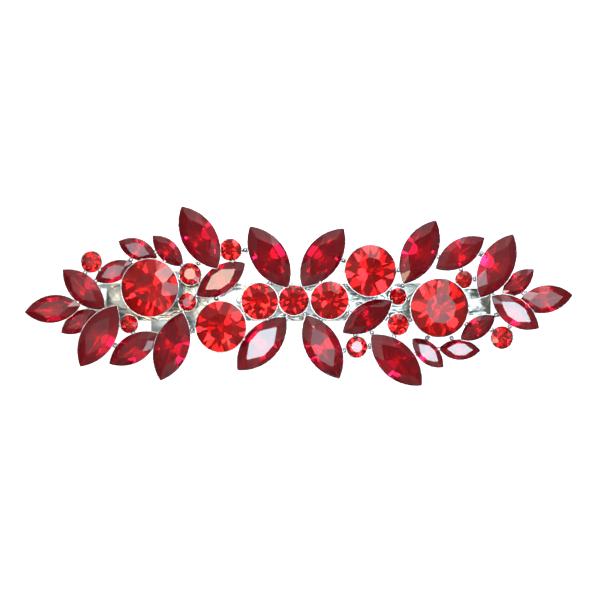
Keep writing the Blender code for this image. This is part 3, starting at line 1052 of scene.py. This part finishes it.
@dataclass
class Studio:
    """Floor, surroundings, lights and camera."""

    view_width: float = 109.5 * MM
    view_level: float = 12.0 * MM
    view_centre: tuple[float, float] = (0.15 * MM, -0.73 * MM)
    camera_distance: float = 1.8
    sensor_width: float = 36.0
    floor_level: float = -66.0 * MM
    floor_size: float = 3.0
    floor_glow: float = 0.7

    def build(self) -> None:
        """Set the stage, the lights and the camera."""
        self.floor()
        self.surroundings()
        target = Vector((0.0, 0.0, self.view_level))
        cool, warm, amber = (0.70, 0.90, 1.0), (1.0, 0.80, 0.66), (1.0, 0.72, 0.5)
        for light in (
            Strip("strip_cool", (-7.6, 36.0), (3.5, 9.5), 17.0, cool),
            Strip("strip_warm", (-18.0, -7.8), (3.5, 9.5), 13.0, warm),
            Strip("sheen_left", (-28.0, -10.0), (-9.5, -3.5), 4.5, cool),
            Strip("sheen_right", (-6.0, 38.0), (-9.5, -3.5), 3.0, cool),
            Softbox("softbox_back", 80.0, 54.0, 0.7, (0.4, 0.18), 6.0),
            Softbox("softbox_left", 215.0, 58.0, 0.7, (0.2, 0.14), 8.0, amber),
            Softbox("softbox_right", 320.0, 54.0, 0.7, (0.2, 0.2), 6.0, cool),
            Softbox("softbox_low", 70.0, 26.0, 0.8, (0.6, 0.16), 2.0),
        ):
            light.build(target)
        self.camera()

    def floor(self) -> None:
        """Lay the plain pale floor, low enough for the arm to swing open above it."""
        bpy.ops.mesh.primitive_plane_add(size=self.floor_size, location=(0.0, 0.0, self.floor_level))
        floor = bpy.context.object
        floor.name = "floor"
        material, shader = new_material("white_floor")
        shader.inputs["Base Color"].default_value = (0.94, 0.94, 0.94, 1.0)
        shader.inputs["Roughness"].default_value = 0.6
        shader.inputs["Emission Color"].default_value = (1.0, 1.0, 1.0, 1.0)
        shader.inputs["Emission Strength"].default_value = self.floor_glow
        dress(floor, material)

    def surroundings(self) -> None:
        """Light the room: pale at the walls, darker overhead, and uneven as a real room is."""
        world = bpy.data.worlds.new("studio")
        bpy.context.scene.world = world
        world.use_nodes = True
        nodes, links = world.node_tree.nodes, world.node_tree.links
        place = nodes.new("ShaderNodeTexCoord")
        split = nodes.new("ShaderNodeSeparateXYZ")
        overhead = self.ramp(world, split.outputs["Z"], (0.84, 0.95), (1.0, 0.3))
        belt = self.ramp(world, split.outputs["Z"], (0.48, 0.74), (0.3, 1.25))
        sideways = self.ramp(world, split.outputs["Y"], (-0.5, 0.5), (0.55, 1.25))
        patches = nodes.new("ShaderNodeTexNoise")
        patches.inputs["Scale"].default_value = 1.7
        patches.inputs["Detail"].default_value = 1.0
        contrast = self.ramp(world, patches.outputs["Fac"], (0.4, 0.6), (0.5, 1.2))
        links.new(place.outputs["Generated"], split.inputs["Vector"])
        links.new(place.outputs["Generated"], patches.inputs["Vector"])
        level = overhead
        for factor in (belt, sideways, contrast):
            product = nodes.new("ShaderNodeMath")
            product.operation = "MULTIPLY"
            links.new(level, product.inputs[0])
            links.new(factor, product.inputs[1])
            level = product.outputs["Value"]
        links.new(level, nodes["Background"].inputs["Strength"])
        nodes["Background"].inputs["Color"].default_value = (1.0, 1.0, 1.0, 1.0)

    def ramp(self, world: bpy.types.World, value: bpy.types.NodeSocket, given: tuple[float, float],
             made: tuple[float, float]) -> bpy.types.NodeSocket:
        """Turn one range of a value into another.

        Args:
            world: The world whose nodes it joins.
            value: The value that is read.
            given: The value's range.
            made: The range that it becomes.

        Returns:
            The socket with the result.
        """
        node = world.node_tree.nodes.new("ShaderNodeMapRange")
        node.inputs["From Min"].default_value, node.inputs["From Max"].default_value = given
        node.inputs["To Min"].default_value, node.inputs["To Max"].default_value = made
        world.node_tree.links.new(value, node.inputs["Value"])
        return node.outputs["Result"]

    def camera(self) -> None:
        """Set the camera straight above, with a long lens."""
        data = bpy.data.cameras.new("camera")
        camera = bpy.data.objects.new("camera", data)
        bpy.context.scene.collection.objects.link(camera)
        camera.location = (*self.view_centre, self.view_level + self.camera_distance)
        data.sensor_width = self.sensor_width
        data.lens = self.sensor_width * self.camera_distance / self.view_width
        data.clip_start = 0.01
        bpy.context.scene.camera = camera
        bpy.context.scene.view_settings.view_transform = "Standard"


def main() -> None:
    """Build the barrette's looks in order and report each piece."""
    logging.basicConfig(level=logging.INFO, format="%(message)s")
    arch = Arch.from_frame()
    log.info("arch radius %.1f mm", arch.radius / MM)
    cutters = {
        True: GemCutter(StoneShape.ROUND),
        False: GemCutter(StoneShape.NAVETTE, ratio=2.08, tip_growth=1.7),
    }
    nodes = sorted(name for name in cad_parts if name.startswith(("round", "navette")))
    seats = [Seat.from_frame(name, arch, cutters[True].cut) for name in nodes]

    plating = plating_group()
    metals = {metal.name: metal.material(plating) for metal in METALS}

    stones = Stones(seats, cutters).build(SCARLET, CRIMSON)
    log.info("%d stones", len(stones))
    casting = Casting(seats, arch, cutters).build(metals["bright_casting"])
    log.info("casting: %d faces", len(casting.data.polygons))
    Clip().build(metals)
    Studio().build()
    bpy.context.view_layer.update()


if __name__ == "__main__":
    main()
